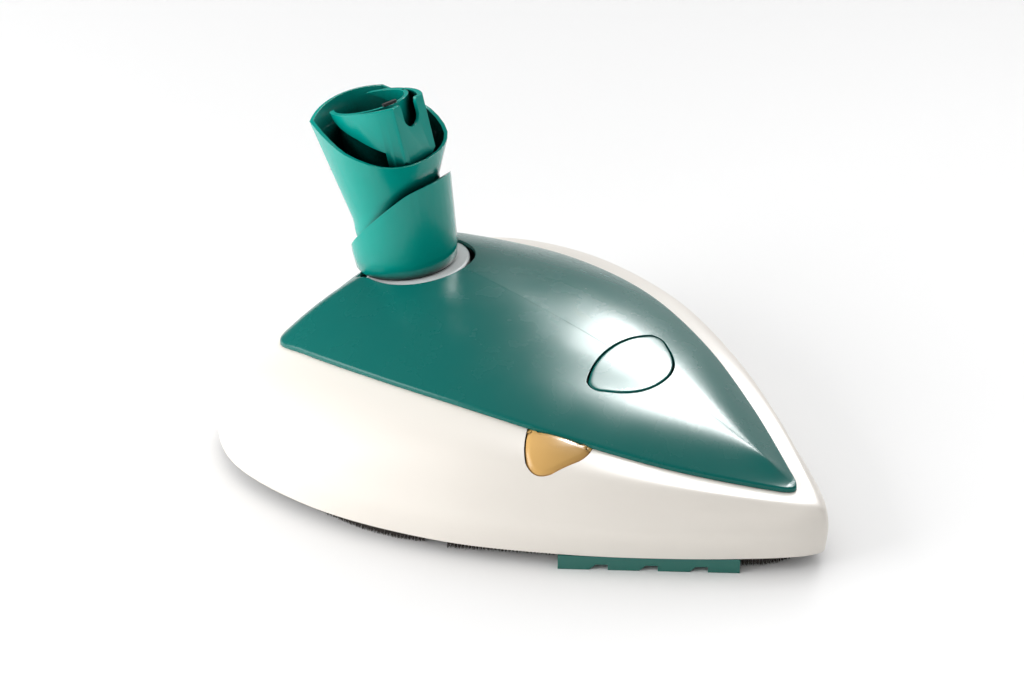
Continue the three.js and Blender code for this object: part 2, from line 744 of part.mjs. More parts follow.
const shellBody = screwPosts(housingShell());

function sideButton() {
  const wall = ringStack([
    ...[0.25, 0.5, 0.62, 0.75, 0.87, 1].map((r) => wallRing(r)),
    coverRing(0.12).map((p, i) => at(p.x, p.y, SEAM_LOOP.getPoint(i / RING_STEPS).z)),
  ]);
  const cap = wall.intersect(shieldPrism(0, -6.5, 20));
  const underCover = coverSlab(SKIN).translate([0, 0, -GAP]);
  const tail = new THREE.BoxGeometry(12, 3, 7).translate(-1, -4, -9.5);
  return cap.subtract(underCover).add(solid(tail).transform(sideFrame().toArray()));
}

add(head, "housing_shell", shellBody.subtract(shieldPrism(0.6, -20, 20)), "white");
add(head, "side_button", sideButton(), "gold");

// ---------------------------------------------------------------- top cover

function topCover() {
  const neckHole = post(OPENING.x, 0, 40, 120, OPENING.radius, 56);
  const cupRoom = inSwivel(post(0, 0, -1, 60, CUP.top + 0.4, ROUND));
  return coverSlab(SKIN).subtract(neckHole).subtract(cupRoom).subtract(buttonPrism(0.8));
}

add(head, "top_cover", topCover(), "teal");

// ---------------------------------------------------------------- brushes and their frame

const STRIP = { thick: 5, top: 13.6 };

// Centre lines of the bristle strips, on the left side.
const STRIP_LINES = {
  rear: [[-70, 107.5], [-52, 109.5], [-36, 108.6], [-18, 104.6], [-4, 98.6]],
  side: [[7, 96], [30, 82.5], [52, 69.5]],
};
const NOSE_LINE = [[127, 22.5], [137, 13.5], [142.6, 0], [137, -13.5], [127, -22.5]];

// A band of a given width along a centre line.
function bandShape(line, width) {
  const curve = new THREE.SplineCurve(line.map(([x, y]) => new THREE.Vector2(x, y)));
  const centres = curve.getSpacedPoints(line.length * 3);
  const sides = [1, -1].map((side) =>
    centres.map((p, i) => {
      const t = curve.getTangentAt(i / (centres.length - 1));
      return new THREE.Vector2(p.x - (t.y * side * width) / 2, p.y + (t.x * side * width) / 2);
    }),
  );
  return new THREE.Shape(sides[0].concat(sides[1].reverse()));
}

const mirrorLine = (line) => line.map(([x, y]) => [x, -y]);
const STRIPS = {
  bristle_rear_left: STRIP_LINES.rear,
  bristle_rear_right: mirrorLine(STRIP_LINES.rear),
  bristle_side_left: STRIP_LINES.side,
  bristle_side_right: mirrorLine(STRIP_LINES.side),
  bristle_nose: NOSE_LINE,
};

for (const [name, line] of Object.entries(STRIPS)) {
  add(head, name, plate(bandShape(line, STRIP.thick), 0, STRIP.top), "bristle");
}

// A wishbone plate above the strips, with two arms that the rocker lifts.
function brushFrame() {
  const low = FRAME_BOTTOM;
  const high = FRAME_BOTTOM + FRAME_THICK;
  const line = [
    [-72, 103], [-40, 103.5], [-4, 94.5], [50, 66], [100, 33], [128, 13], [136, 0],
    [128, -13], [100, -33], [50, -66], [-4, -94.5], [-40, -103.5], [-72, -103],
  ];
  let frame = plate(bandShape(line, 9), low, high);
  for (const side of [1, -1]) frame = frame.add(yoke(side));
  return frame;
}

// The arm and the fork round one tip of the rocker.
function yoke(side) {
  const { x, z, reachBack, armY } = ROCKER;
  const tip = x - reachBack;
  const low = FRAME_BOTTOM;
  const span = (a, b) => [Math.min(side * a, side * b), Math.max(side * a, side * b)];
  const [near, far] = span(armY - 2.5, 100);
  const arm = box(at(tip - 5, near, low), at(tip + 5, far, low + FRAME_THICK));
  const [inner, outer] = span(armY - 2.5, armY + 2.5);
  const column = box(at(tip - 9, inner, low), at(tip - 4.4, outer, z + 8));
  const foot = box(at(tip - 9, inner, low), at(tip + 3, outer, low + FRAME_THICK));
  const lower = box(at(tip - 9, inner, z - 6.5), at(tip + 3, outer, z - 3.2));
  const upper = box(at(tip - 9, inner, z + 3.2), at(tip + 3, outer, z + 6.5));
  return arm.add(column).add(foot).add(lower).add(upper);
}

add(head, "brush_frame", brushFrame(), "dark");

// ---------------------------------------------------------------- sole plate

const MOUTH = { low: 22, high: 58, half: 38 };

function solePlate() {
  const low = SOLE_BOTTOM;
  const high = SOLE_BOTTOM + SOLE_THICK;
  let sole = ringStack([sillRing(WALL + GAP, low), sillRing(WALL + GAP, high)]);
  sole = sole.subtract(box(at(MOUTH.low, -MOUTH.half, 0), at(MOUTH.high, MOUTH.half, 20)));
  for (const line of Object.values(STRIPS)) {
    const stretched = stretchLine(line, 1);
    sole = sole.subtract(plate(bandShape(stretched, STRIP.thick + 1.6), 0, 20));
  }
  for (const side of [1, -1]) {
    const { x, y, radius, width, axle } = WHEEL;
    const well = radius + 1.5;
    const half = width / 2 + 1;
    for (const end of [-1, 1]) {
      const lug = side * y + end * (half + 1.5);
      sole = sole.add(box(at(x - 5, lug - 1.5, low), at(x + 5, lug + 1.5, 16)));
    }
    sole = sole.subtract(box(at(x - well, side * y - half, 0), at(x + well, side * y + half, 30)));
    sole = sole.subtract(barY(at(x, side * y, radius), width + 12, axle + GAP));
  }
  for (const [x, y] of SCREWS) {
    sole = sole.subtract(post(x, y, 0, 20, SCREW.shank + GAP));
    sole = sole.subtract(post(x, y, 0, low + SCREW.headHeight - 0.6, SCREW.head + GAP));
  }
  return sole;
}

// A centre line made a little longer at both ends.
function stretchLine(line, extra) {
  const longer = line.map((p) => [...p]);
  const push = (end, next) => {
    const length = Math.hypot(end[0] - next[0], end[1] - next[1]);
    end[0] += ((end[0] - next[0]) / length) * extra;
    end[1] += ((end[1] - next[1]) / length) * extra;
  };
  push(longer[0], longer[1]);
  push(longer.at(-1), longer.at(-2));
  return longer;
}

add(head, "sole_plate", solePlate(), "dark");

SCREWS.forEach(([x, y], i) => {
  const low = SOLE_BOTTOM - 0.8;
  const shank = post(x, y, low, SCREW.top, SCREW.shank, 12);
  const screwHead = post(x, y, low, low + SCREW.headHeight, SCREW.head, 16);
  const recess = box(at(x - 2.2, y - 0.5, low - 1), at(x + 2.2, y + 0.5, low + 1));
  add(head, `sole_screw_${i + 1}`, shank.add(screwHead).subtract(recess), "steel");
});

// ---------------------------------------------------------------- comb strips

const COMB = {
  from: [59, 77], to: [129.5, 27.6], thick: 2.6, foot: 9, top: 7.65, teeth: 4, notch: 8.7, deep: 3,
};

function combStrip(side) {
  const { thick, foot, top, teeth, notch, deep } = COMB;
  const start = new THREE.Vector2(COMB.from[0], COMB.from[1] * side);
  const end = new THREE.Vector2(COMB.to[0], COMB.to[1] * side);
  const length = start.distanceTo(end);
  const tooth = (length - (teeth - 1) * notch) / teeth;
  const profile = new THREE.Shape();
  profile.moveTo(0, top);
  profile.lineTo(0, 0);
  for (let i = 0; i < teeth - 1; i++) {
    const rear = tooth + i * (tooth + notch);
    profile.lineTo(rear, 0);
    profile.lineTo(rear + deep, deep);
    profile.lineTo(rear + notch, deep);
    profile.lineTo(rear + notch, 0);
  }
  profile.lineTo(length, 0);
  profile.lineTo(length, top);
  profile.closePath();
  const blade = new THREE.ExtrudeGeometry(profile, { depth: thick, bevelEnabled: false });
  blade.rotateX(Math.PI / 2);
  const flange = new THREE.BoxGeometry(length - 4, foot, 2.2);
  flange.translate(length / 2, side > 0 ? -foot / 2 : foot / 2 - thick, top - 1.1);
  const direction = end.clone().sub(start).angle();
  const placed = (geometry) => solid(moved(geometry, at(start.x, start.y, 0), [0, 0, direction]));
  return placed(blade).add(placed(flange));
}

add(head, "comb_strip_left", combStrip(1), "comb");
add(head, "comb_strip_right", combStrip(-1), "comb");

// ---------------------------------------------------------------- wheels

for (const [side, label] of [[1, "left"], [-1, "right"]]) {
  const { x, y, radius, width, axle } = WHEEL;
  const centre = at(x, side * y, radius);
  const wheel = barY(centre, width, radius, 36).subtract(barY(centre, width + 2, axle + GAP));
  add(head, `wheel_${label}`, wheel, "rubber");
  add(head, `wheel_axle_${label}`, barY(centre, width + 7.4, axle), "steel");
}

// ---------------------------------------------------------------- suction duct

// Sections of the duct from the neck to the mouth: centre x and z, turn from level in degrees,
// half length and half width.
const DUCT = [
  { x: -93.9, z: 69.8, turn: NECK.swivelTilt, half: 20.8, wide: 20.8 },
  { x: -92.5, z: 54, turn: 10, half: 20.8, wide: 22 },
  { x: -84, z: 37, turn: 42, half: 17, wide: 26 },
  { x: -56, z: 26, turn: 80, half: 11, wide: 31 },
  { x: 2, z: 24.5, turn: 85, half: 10, wide: 33 },
  { x: 27, z: 22, turn: 45, half: 12, wide: 35 },
  { x: 40, z: 11.6, turn: 0, half: 16.5, wide: 36.5 },
];
const DUCT_WALL = 1.8;

function ductRing({ x, z, turn, half, wide }, inset, shift = 0) {
  const steps = 32;
  return Array.from({ length: steps }, (_, i) => {
    const angle = (i / steps) * 2 * Math.PI;
    const squared = (value) => Math.sign(value) * Math.abs(value) ** 0.7;
    const across = (wide - inset) * squared(Math.sin(angle));
    const point = at((half - inset) * squared(Math.cos(angle)), across, shift);
    return point.applyAxisAngle(at(0, 1, 0), -deg(turn)).add(at(x, 0, z));
  });
}

const ductOuter = ringStack(DUCT.map((section) => ductRing(section, 0)));
const springPost = post(SPRING.x, SPRING.y, 26, SPRING.low - 0.3, 6);
const overshoot = { 0: 1, [DUCT.length - 1]: -1 }; // the bore runs out of both ends
const ductInner = ringStack(
  DUCT.map((section, i) => ductRing(section, DUCT_WALL, overshoot[i] ?? 0)),
);
add(head, "suction_duct", ductOuter.add(springPost).subtract(ductInner), "dark");

export default head;
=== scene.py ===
"""Looks of the manual vacuum head: fine shells, bristles, materials, light and camera."""

import json
import math
import random

import bmesh
import bpy
import numpy as np
from mathutils import Matrix, Vector
from mathutils.bvhtree import BVHTree


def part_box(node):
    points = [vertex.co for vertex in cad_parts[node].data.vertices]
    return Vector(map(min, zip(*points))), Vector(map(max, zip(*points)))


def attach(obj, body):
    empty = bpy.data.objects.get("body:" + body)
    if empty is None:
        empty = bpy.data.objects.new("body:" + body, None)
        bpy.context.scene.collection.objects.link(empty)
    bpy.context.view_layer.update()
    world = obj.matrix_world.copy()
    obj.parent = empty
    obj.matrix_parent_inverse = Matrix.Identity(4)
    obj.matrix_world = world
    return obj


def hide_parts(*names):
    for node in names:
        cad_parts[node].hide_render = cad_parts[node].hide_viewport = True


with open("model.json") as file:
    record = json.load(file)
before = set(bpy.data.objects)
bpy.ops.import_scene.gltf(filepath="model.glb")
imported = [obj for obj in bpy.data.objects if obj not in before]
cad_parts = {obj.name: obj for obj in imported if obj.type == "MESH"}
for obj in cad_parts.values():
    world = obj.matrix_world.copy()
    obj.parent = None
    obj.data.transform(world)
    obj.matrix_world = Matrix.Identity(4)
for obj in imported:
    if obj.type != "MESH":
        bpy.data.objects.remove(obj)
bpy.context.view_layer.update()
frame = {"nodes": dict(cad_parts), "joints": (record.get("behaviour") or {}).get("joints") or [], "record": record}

MM = 0.001
AROUND = 480  # points around a fine shell
random.seed(7)


# ---------------------------------------------------------------- curves


def catmull(points, shares, closed=False):
    """Points of a centripetal Catmull-Rom curve at the given shares of its spans."""
    points = [np.asarray(p, float) for p in points]
    count = len(points)
    spans = count if closed else count - 1
    found = []
    for share in np.atleast_1d(shares):
        place = (share % 1.0 if closed else min(max(share, 0.0), 1.0)) * spans
        first = min(int(place), spans - 1)
        weight = place - first
        b, c = points[first], points[(first + 1) % count]
        a = points[first - 1] if closed or first > 0 else 2 * b - c
        last = closed or first + 2 < count
        d = points[(first + 2) % count] if last else 2 * c - b
        found.append(_catmull_point(a, b, c, d, weight))
    return np.array(found)


def _catmull_point(a, b, c, d, weight):
    middle = max(np.linalg.norm(c - b) ** 0.5, 1e-6)
    before = np.linalg.norm(b - a) ** 0.5 or middle
    after = np.linalg.norm(d - c) ** 0.5 or middle
    start = ((b - a) / before - (c - a) / (before + middle) + (c - b) / middle) * middle
    end = ((c - b) / middle - (d - b) / (middle + after) + (d - c) / after) * middle
    cubic = 2 * b - 2 * c + start + end
    square = -3 * b + 3 * c - 2 * start - end
    return ((cubic * weight + square) * weight + start) * weight + b


def smoothstep(value, low, high):
    x = np.clip((value - low) / (high - low), 0, 1)
    return x * x * (3 - 2 * x)


# ---------------------------------------------------------------- meshes


def new_object(name, vertices, faces, sharp=32):
    """An object from vertices in millimetres, smooth except at edges sharper than an angle."""
    mesh = bpy.data.meshes.new(name)
    mesh.from_pydata([tuple(v) for v in np.asarray(vertices) * MM], [], faces)
    obj = bpy.data.objects.new(name, mesh)
    bpy.context.scene.collection.objects.link(obj)
    tidy(obj, sharp)
    return obj


def tidy(obj, sharp=32, weld=2e-6):
    """Welds, drops degenerate faces, faces outwards, and smooths all but the sharp edges."""
    work = bmesh.new()
    work.from_mesh(obj.data)
    bmesh.ops.remove_doubles(work, verts=work.verts, dist=weld)
    bmesh.ops.dissolve_degenerate(work, dist=1e-7, edges=work.edges)
    bmesh.ops.recalc_face_normals(work, faces=work.faces)
    limit = math.radians(sharp)
    for edge in work.edges:
        edge.smooth = len(edge.link_faces) == 2 and edge.calc_face_angle(0) < limit
    for face in work.faces:
        face.smooth = True
    work.to_mesh(obj.data)
    work.free()


def shell(name, rings, close_rings=False, caps=False, sharp=32):
    """A surface through rings with equal numbers of points."""
    count = len(rings[0])
    vertices = np.concatenate(rings)
    faces = []
    last = len(rings) if close_rings else len(rings) - 1
    for i in range(last):
        low, high = i * count, ((i + 1) % len(rings)) * count
        for k in range(count):
            after = (k + 1) % count
            faces.append((low + k, low + after, high + after, high + k))
    if caps:
        faces.append(tuple(range(count))[::-1])
        faces.append(tuple(range((len(rings) - 1) * count, len(rings) * count)))
    return new_object(name, vertices, faces, sharp)


def prism(name, outline, low, high, matrix):
    """An outline in X and Y, from one Z to another, in a frame. Millimetres."""
    flat = np.asarray(outline, float)
    rings = [np.column_stack([flat, np.full(len(flat), z)]) for z in (low, high)]
    obj = shell(name, rings, caps=True)
    obj.data.transform(matrix)
    return obj


def boolean(obj, cutter, operation="DIFFERENCE", sharp=32):
    """Cuts with, or joins, another closed object, which is used up."""
    modifier = obj.modifiers.new("boolean", "BOOLEAN")
    modifier.operation = operation
    modifier.solver = "EXACT"
    modifier.object = cutter
    graph = bpy.context.evaluated_depsgraph_get()
    made = bpy.data.meshes.new_from_object(obj.evaluated_get(graph))
    obj.modifiers.clear()
    obj.data = made
    bpy.data.objects.remove(cutter)
    tidy(obj, sharp)
    return obj


def surface_of(obj):
    """A tree that finds where a line meets an object; the object is used up."""
    corners = [v.co for v in obj.data.vertices]
    tree = BVHTree.FromPolygons(corners, [p.vertices[:] for p in obj.data.polygons])
    bpy.data.objects.remove(obj)
    return tree


FAR = 60  # where the rays that find a surface start


def heights(tree, matrix, flat):
    """Heights of a surface over points in a frame's X and Y, looking down its Z. Millimetres."""
    down = -(matrix.to_3x3() @ Vector((0, 0, 1)))
    found = []
    for x, y in flat:
        start = matrix @ (Vector((x, y, FAR)) * MM)
        distance = tree.ray_cast(start, down)[3]
        found.append(np.nan if distance is None else FAR - distance / MM)
    found = np.array(found)
    missed = np.isnan(found)
    found[missed] = np.nanmin(found)
    return found


def shrunk(outline, distance):
    """A convex outline moved inwards."""
    along = np.roll(outline, -1, 0) - np.roll(outline, 1, 0)
    along /= np.linalg.norm(along, axis=1)[:, None]
    outward = np.column_stack([along[:, 1], -along[:, 0]])
    middle = outline.mean(0)
    if np.sum(outward * (outline - middle)) < 0:
        outward = -outward
    return outline - outward * distance


CAP_RINGS = 16
CAP_CORE = 0.97  # how near the innermost ring comes to the middle


def cap(name, outline, matrix, rise, depth, edge):
    """A cap over an outline: rise gives its top, and its edge follows (inset, drop) pairs."""
    rings = []
    for share in np.linspace(CAP_CORE, 0, CAP_RINGS):
        ring = outline + (outline.mean(0) - outline) * share
        rings.append(np.column_stack([ring, rise(ring) - depth]))
    for distance, drop in edge:
        ring = shrunk(outline, distance)
        rings.append(np.column_stack([ring, rise(ring) - drop]))
    last, drop = shrunk(outline, edge[-1][0]), edge[-1][1]
    middle = last.mean(0)
    for share in np.linspace(0, CAP_CORE, CAP_RINGS)[1:]:
        ring = last + (middle - last) * share
        rings.append(np.column_stack([ring, rise(ring) - drop]))
    obj = shell(name, rings, caps=True, sharp=40)
    obj.data.transform(matrix)
    return obj


def quarter_round(radius, steps=6):
    """(inset, drop) pairs round the upper edge of a cap."""
    angles = np.radians(np.linspace(0, 90, steps + 1))
    return [(radius * (1 - math.cos(a)), radius * (1 - math.sin(a))) for a in angles]


# ---------------------------------------------------------------- body surface

LEVELS = {
    "sill": [
        (158.5, 0, 8), (155.5, 6.5, 8), (146, 16.5, 8), (108, 46.8, 8), (59, 79, 8), (6, 105, 8),
        (-60, 120, 8), (-118, 113.5, 8), (-149, 88, 8), (-157.8, 45, 8), (-158.8, 0, 8),
    ],
    "waist": [
        (159.2, 0, 22), (156.4, 6, 22), (147, 17.8, 22), (110, 49, 23), (61, 81.6, 24), (7, 107.5, 25),
        (-60, 121.8, 25), (-118.5, 114.5, 25), (-150, 88.6, 24), (-158.4, 45, 23), (-159.2, 0, 22),
    ],
    "shoulder": [
        (156.5, 0, 31), (153.8, 4.6, 31), (144, 14.2, 31.5), (107, 44.5, 33.6), (59, 77.4, 36.3),
        (6, 103.5, 38.6), (-60, 118, 39), (-117, 112, 36.6), (-147, 87, 33), (-154.8, 44, 31),
        (-155.8, 0, 30.5),
    ],
    "brow": [
        (150.5, 0, 34.2), (148, 4.8, 34.4), (139.2, 13.4, 35.8), (103, 42, 42.5), (57.5, 70.7, 48.7),
        (6.5, 92.6, 53.5), (-56, 102.7, 53.8), (-112, 97.2, 47.5), (-136.5, 78.6, 42.5), (-144.5, 40, 41),
        (-146.8, 0, 40.5),
    ],
    "seam": [
        (141.2, 0, 34.8), (139.4, 3.4, 35.1), (131.4, 9.6, 36.7), (95, 33.9, 45.2), (52, 55.9, 55.4),
        (5.5, 70.9, 62.4), (-50, 77.5, 62.6), (-100, 74.6, 57.5), (-122.8, 68.4, 53.3), (-129.4, 36, 52),
        (-132.4, 0, 51.5),
    ],
}
SPINE = [
    (-110, 0, 79.5), (-88, 0, 86.2), (-58, 0, 88.5), (6, 0, 80.2), (46, 0, 71.9), (80, 0, 63.1),
    (115, 0, 50.7), (138, 0, 41.4),
]
SPINE_TIP = 122
SPINE_SQUEEZE = 0.765
SEAM_TIP = LEVELS["seam"][0][0]
COVER_LIP = 2.6
GAP = 0.35
WALL = 2.6
SKIN = 2.2


def loop(half):
    """A closed loop of control points from a half outline and its mirror image."""
    mirror = [(x, -y, z) for x, y, z in half[1:-1]]
    return list(half) + mirror[::-1]


ROUND_SHARES = np.arange(AROUND) / AROUND
LEVEL_RINGS = [catmull(loop(half), ROUND_SHARES, closed=True) for half in LEVELS.values()]
SEAM_RING = LEVEL_RINGS[-1]
SPINE_FINE = catmull(SPINE, np.linspace(0, 1, 400))


def wall_rings(shares):
    """Rings of the white wall at several heights, from the sill at 0 to the seam at 1."""
    ribs = [catmull([ring[k] for ring in LEVEL_RINGS], shares) for k in range(AROUND)]
    stack = np.array(ribs)
    return [stack[:, i] for i in range(len(shares))]


def inset(ring, above, distance):
    """A ring moved inwards along the normal of the surface it shares with the ring above it."""
    along = np.roll(ring, -1, 0) - np.roll(ring, 1, 0)
    up = above - ring
    normal = np.cross(along, up)
    normal /= np.linalg.norm(normal, axis=1)[:, None]
    return ring - normal * distance


def spine_height(x):
    return np.interp(x, SPINE_FINE[:, 0], SPINE_FINE[:, 2])


def cover_ring(share, lift=0.0, drop=0.0):
    """A ring of the cover, a share of the way from the seam to the spine."""
    edge = SEAM_RING
    spine_x = SPINE_TIP - SPINE_SQUEEZE * (SEAM_TIP - edge[:, 0])
    share = np.broadcast_to(share, edge[:, 0].shape)
    crown = 1 - (1 - share) ** 2
    base = edge[:, 2] + COVER_LIP
    x = edge[:, 0] + (spine_x - edge[:, 0]) * share
    front = smoothstep(edge[:, 0], -60, -10)
    roof = spine_height(spine_x) * (1 - front) + spine_height(x) * front
    z = base + (roof - base) * crown + lift - drop
    return np.column_stack([x, edge[:, 1] * (1 - share), z])


EDGE_ROUND = 0.9  # radius of the cover's upper edge
RIB_LENGTH = np.linalg.norm(cover_ring(1.0) - cover_ring(0.0), axis=1)


COVER_RINGS = {"top": 70, "under": 24, "under_edge": 0.04}


def cover_slab(name, rounded=True):
    """The cover as a closed shell, with a rounded upper edge if asked."""
    rings = []
    foot = cover_ring(0.0)
    foot[:, 2] = SEAM_RING[:, 2] + GAP
    rings.append(foot)
    if rounded:
        for angle in np.radians(np.arange(0, 91, 18)):
            reach = EDGE_ROUND * (1 - math.cos(angle))
            fall = EDGE_ROUND * (1 - math.sin(angle))
            rings.append(cover_ring(reach / RIB_LENGTH, drop=fall))
    start = EDGE_ROUND / RIB_LENGTH if rounded else 0.0
    for s in np.linspace(0, 1, COVER_RINGS["top"])[1 if rounded else 0:]:
        rings.append(cover_ring(start + (1 - start) * s))
    for s in np.linspace(1, COVER_RINGS["under_edge"], COVER_RINGS["under"]):
        rings.append(cover_ring(s, lift=-SKIN))
    inner_foot = cover_ring(COVER_RINGS["under_edge"])
    inner_foot[:, 2] = SEAM_RING[:, 2] + GAP
    rings.append(inner_foot)
    return shell(name, rings, close_rings=True)


# ---------------------------------------------------------------- materials


def srgb(red, green, blue):
    """Linear colour from 0-255 display values."""
    return tuple(_linear(v / 255) for v in (red, green, blue)) + (1.0,)


def _linear(value):
    return value / 12.92 if value <= 0.04045 else ((value + 0.055) / 1.055) ** 2.4


# Scale and detail of the noises: slow drift of colour, moulded grain, and smears in the gloss.
DRIFT = (14.0, 3.0)
GRAIN = (1400.0, 2.0)
SMEAR = (60.0, 4.0)
GRAIN_DEPTH = 0.00001
GRAIN_STRENGTH = 0.12
STREAKS = (3000, 3000, 120)  # scale of the streaks in drawn steel


def plastic(name, colour, roughness, coat=0.0, mottle=0.03, edge=0.35, shine=0.5, painted_shade_reach=0.0):
    """Moulded plastic: faint colour drift, a fine moulded grain, rounded edges, and, when a reach is given,
    painted shade that darkens the colour in deep hollows.
    """
    material = bpy.data.materials.new(name)
    material.use_nodes = True
    tree = material.node_tree
    shader = tree.nodes["Principled BSDF"]
    place = tree.nodes.new("ShaderNodeTexCoord")
    drift = noise(tree, place, *DRIFT)
    fine = noise(tree, place, *GRAIN)
    smear = noise(tree, place, *SMEAR)

    dark = [c * (1 - mottle) for c in colour[:3]] + [1]
    light = [min(1.0, c * (1 + mottle)) for c in colour[:3]] + [1]
    ramp = tree.nodes.new("ShaderNodeMix")
    ramp.data_type = "RGBA"
    ramp.inputs[6].default_value = dark
    ramp.inputs[7].default_value = light
    tree.links.new(drift.outputs["Fac"], ramp.inputs[0])
    tint = ramp.outputs[2]
    # painted shade: ambient occlusion darkens the base colour in hollows
    if painted_shade_reach:
        tint = painted_hollow_shade(tree, tint, painted_shade_reach)
    tree.links.new(tint, shader.inputs["Base Color"])

    rough = tree.nodes.new("ShaderNodeMapRange")
    rough.inputs["To Min"].default_value = roughness * 0.88
    rough.inputs["To Max"].default_value = roughness * 1.12
    tree.links.new(smear.outputs["Fac"], rough.inputs["Value"])
    tree.links.new(rough.outputs["Result"], shader.inputs["Roughness"])

    rounding = tree.nodes.new("ShaderNodeBevel")
    rounding.samples = 6
    rounding.inputs["Radius"].default_value = edge * MM
    bump = tree.nodes.new("ShaderNodeBump")
    bump.inputs["Strength"].default_value = GRAIN_STRENGTH
    bump.inputs["Distance"].default_value = GRAIN_DEPTH
    tree.links.new(fine.outputs["Fac"], bump.inputs["Height"])
    tree.links.new(rounding.outputs["Normal"], bump.inputs["Normal"])
    tree.links.new(bump.outputs["Normal"], shader.inputs["Normal"])
    shader.inputs["Specular IOR Level"].default_value = shine
    shader.inputs["Coat Weight"].default_value = coat
    shader.inputs["Coat Roughness"].default_value = 0.12
    return material


def painted_hollow_shade(tree, tint, reach):
    """Painted shade: a colour darkened where ambient occlusion finds deep hollows, as in a narrow bore, standing
    in for the shade there.
    """
    depth = tree.nodes.new("ShaderNodeAmbientOcclusion")
    depth.samples = 8
    depth.inputs["Distance"].default_value = reach * MM
    # painted shade: the ambient occlusion becomes a factor that darkens the colour, down to 5 percent in the
    # deepest hollows
    painted_shade_factor = ranged(tree, depth.outputs["AO"], (0.3, 0.8), (0.05, 1.0))
    mixed = tree.nodes.new("ShaderNodeVectorMath")
    mixed.operation = "SCALE"
    tree.links.new(tint, mixed.inputs[0])
    tree.links.new(painted_shade_factor, mixed.inputs["Scale"])
    return mixed.outputs["Vector"]


def noise(tree, place, scale, detail):
    node = tree.nodes.new("ShaderNodeTexNoise")
    node.inputs["Scale"].default_value = scale
    node.inputs["Detail"].default_value = detail
    tree.links.new(place.outputs["Object"], node.inputs["Vector"])
    return node


def metal(name, colour, roughness):
    """Drawn steel, with fine upright streaks in its gloss."""
    material = plastic(name, colour, roughness, mottle=0.05, edge=0.15)
    tree = material.node_tree
    shader = tree.nodes["Principled BSDF"]
    shader.inputs["Metallic"].default_value = 1.0
    place = tree.nodes.new("ShaderNodeTexCoord")
    stretch = tree.nodes.new("ShaderNodeMapping")
    stretch.inputs["Scale"].default_value = STREAKS
    tree.links.new(place.outputs["Object"], stretch.inputs["Vector"])
    streaks = tree.nodes.new("ShaderNodeTexNoise")
    streaks.inputs["Scale"].default_value = 1.0
    tree.links.new(stretch.outputs["Vector"], streaks.inputs["Vector"])
    span = (roughness * 0.7, roughness * 1.5)
    tree.links.new(ranged(tree, streaks.outputs["Fac"], (0.3, 0.7), span), shader.inputs["Roughness"])
    return material


def ranged(tree, value, source, target):
    """A value carried from one range to another."""
    node = tree.nodes.new("ShaderNodeMapRange")
    node.inputs["From Min"].default_value, node.inputs["From Max"].default_value = source
    node.inputs["To Min"].default_value, node.inputs["To Max"].default_value = target
    tree.links.new(value, node.inputs["Value"])
    return node.outputs["Result"]


MATERIALS = {
    "white_shell": plastic("white_shell", srgb(240, 234, 225), 0.45, coat=0.08, mottle=0.008),
    "teal_cover": plastic("teal_cover", srgb(0, 106, 99), 0.27, coat=0.08, shine=0.4),
    # the teal neck gets painted shade in its hollows, which darkens the inside of the duct
    "teal_neck": plastic("teal_neck", srgb(0, 160, 147), 0.16, shine=0.4, painted_shade_reach=40),
    "gold_trim": plastic("gold_trim", srgb(218, 172, 100), 0.3, coat=0.3, mottle=0.04),
    "comb_green": plastic("comb_green", srgb(38, 108, 98), 0.42, mottle=0.05),
    "bristle": plastic("bristle", srgb(84, 78, 74), 0.7, mottle=0.25, edge=0.02),
    "grey_plastic": plastic("grey_plastic", srgb(226, 229, 229), 0.4, mottle=0.03),
    "dark_plastic": plastic("dark_plastic", srgb(40, 42, 43), 0.5, mottle=0.1),
    "rubber": plastic("rubber", srgb(30, 31, 32), 0.75, mottle=0.15),
    "steel": metal("steel", srgb(190, 192, 194), 0.28),
}


def paint(obj, slot):
    """Gives a piece the finish of one of the record's slots."""
    obj.data.materials.clear()
    obj.data.materials.append(MATERIALS[slot])


# ---------------------------------------------------------------- pieces from CAD nodes

SLOT_OF = {entry["node"]: entry["material_slot"] for entry in frame["record"]["subparts"]}
SLOT_OF["connector_pad"] = "dark_plastic"  # it looks darker than the grey slot that the record gives
BODY_OF = {n: body for body, nodes in frame["record"]["behaviour"]["bodies"].items() for n in nodes}


def stands_for(obj, node):
    """obj takes the place, the body and the finish of a CAD node."""
    paint(obj, SLOT_OF[node])
    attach(obj, BODY_OF[node])
    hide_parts(node)


BEVEL = 0.3
SHARP = 34  # degrees between faces, from which an edge is rounded


def refined(node):
    """A copy of a CAD node with welded, smooth faces and rounded edges."""
    copy = bpy.data.objects.new(node + "_fine", frame["nodes"][node].data.copy())
    bpy.context.scene.collection.objects.link(copy)
    tidy(copy, SHARP)
    rounding = copy.modifiers.new("edges", "BEVEL")
    rounding.width = BEVEL * MM
    rounding.segments = 2
    rounding.limit_method = "ANGLE"
    rounding.angle_limit = math.radians(SHARP)
    rounding.harden_normals = True
    stands_for(copy, node)


# ---------------------------------------------------------------- housing and cover


WALL_RINGS = 41
INNER_RINGS = (37, 30, 20, 10, 5)  # the wall's rings that have one inside it, from the seam down


def housing():
    """The white shell, with the well of the side button."""
    outer = wall_rings(np.linspace(0, 1, WALL_RINGS))
    seam = outer[-1]
    flange = cover_ring(0.08)
    flange[:, 2] = seam[:, 2]
    under = flange.copy()
    under[:, 2] -= WALL
    inner = [inset(outer[i], outer[i + 1], WALL) for i in INNER_RINGS]
    sill = inset(outer[0], outer[1], WALL)
    sill[:, 2] = outer[0][:, 2]
    obj = shell("housing_shell_fine", [*outer, flange, under, *inner, sill], close_rings=True)
    boolean(obj, prism("well", shield_outline(SIDE_BUTTON["gap"]), -20, 20, side_frame()))
    stands_for(obj, "housing_shell")


